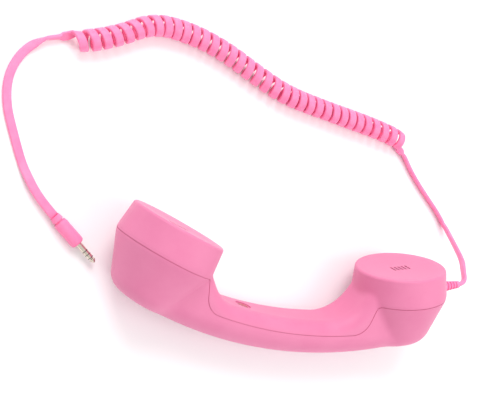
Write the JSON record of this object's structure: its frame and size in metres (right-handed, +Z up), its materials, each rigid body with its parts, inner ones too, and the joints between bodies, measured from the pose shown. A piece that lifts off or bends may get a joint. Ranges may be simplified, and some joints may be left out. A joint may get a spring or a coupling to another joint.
{
  "type": "corded retro telephone handset",
  "caption": "Retro telephone handset with two round cups on a curved grip, a call button and a curly cord ending in a jack plug.",
  "frame": {"origin": "centre of the handset's bounding box at the surface it lies on", "axes": "+X along the grip from the ear cup to the mouth cup, +Z up, +Y towards the side that the cups face"},
  "size_m": [0.3164, 0.1861, 0.0603],
  "materials": {
    "soft_touch_pink": "soft-touch satin",
    "cord_pink": "satin",
    "button_red": "glossy",
    "plug_metal": "polished",
    "insulator_black": "matte",
    "steel": "zinc plated",
    "copper": "enamelled",
    "cone_paper": "paper",
    "acoustic_mesh": "woven",
    "black_rubber": "matte",
    "board_green": "lacquered",
    "plunger_black": "matte"
  },
  "bodies": {
    "handset": {"front_shell": "soft_touch_pink", "rear_shell": "soft_touch_pink", "shell_screws": "steel", "screw_plugs": "soft_touch_pink", "ear_mesh": "acoustic_mesh", "speaker_gasket": "black_rubber", "speaker_basket": "insulator_black", "speaker_surround": "cone_paper", "speaker_pole_plate": "steel", "speaker_magnet": "steel", "speaker_yoke": "steel", "speaker_leads": "copper", "mic_mesh": "acoustic_mesh", "mic_capsule": "steel", "mic_boot": "black_rubber", "mic_leads": "copper", "switch_body": "insulator_black", "circuit_board": "board_green", "board_screws": "steel", "strain_relief": "cord_pink", "cord_clamp": "insulator_black", "clamp_screws": "steel", "inner_cord": "cord_pink", "cord_tail_handset": "cord_pink", "cord_coil": "cord_pink", "cord_tail_plug": "cord_pink", "plug_body": "cord_pink", "plug_sleeve": "plug_metal", "plug_ring_back": "plug_metal", "plug_ring_front": "plug_metal", "plug_tip": "plug_metal", "plug_insulator": "insulator_black"},
    "button": {"call_button": "button_red"},
    "plunger": {"switch_plunger": "plunger_black"},
    "diaphragm": {"speaker_cone": "cone_paper", "voice_coil": "copper"}
  },
  "joints": [
    {"name": "button_press", "type": "slide", "parent": "handset", "child": "button", "axis": [-0.0986, -0.9338, -0.3441], "range_m": [0, 0.0004], "stiffness_N_per_m": 100},
    {"name": "plunger_press", "type": "slide", "parent": "handset", "child": "plunger", "axis": [-0.0986, -0.9338, -0.3441], "range_m": [0, 0.0004]},
    {"name": "diaphragm_travel", "type": "slide", "parent": "handset", "child": "diaphragm", "axis": [0.2672, 0.9042, 0.3332], "range_m": [-0.0003, 0.0003], "stiffness_N_per_m": 400, "deforming": ["speaker_surround"]}
  ],
  "couplings": [
    {"joint": "plunger_press", "follows": "button_press", "ratio": 1}
  ]
}
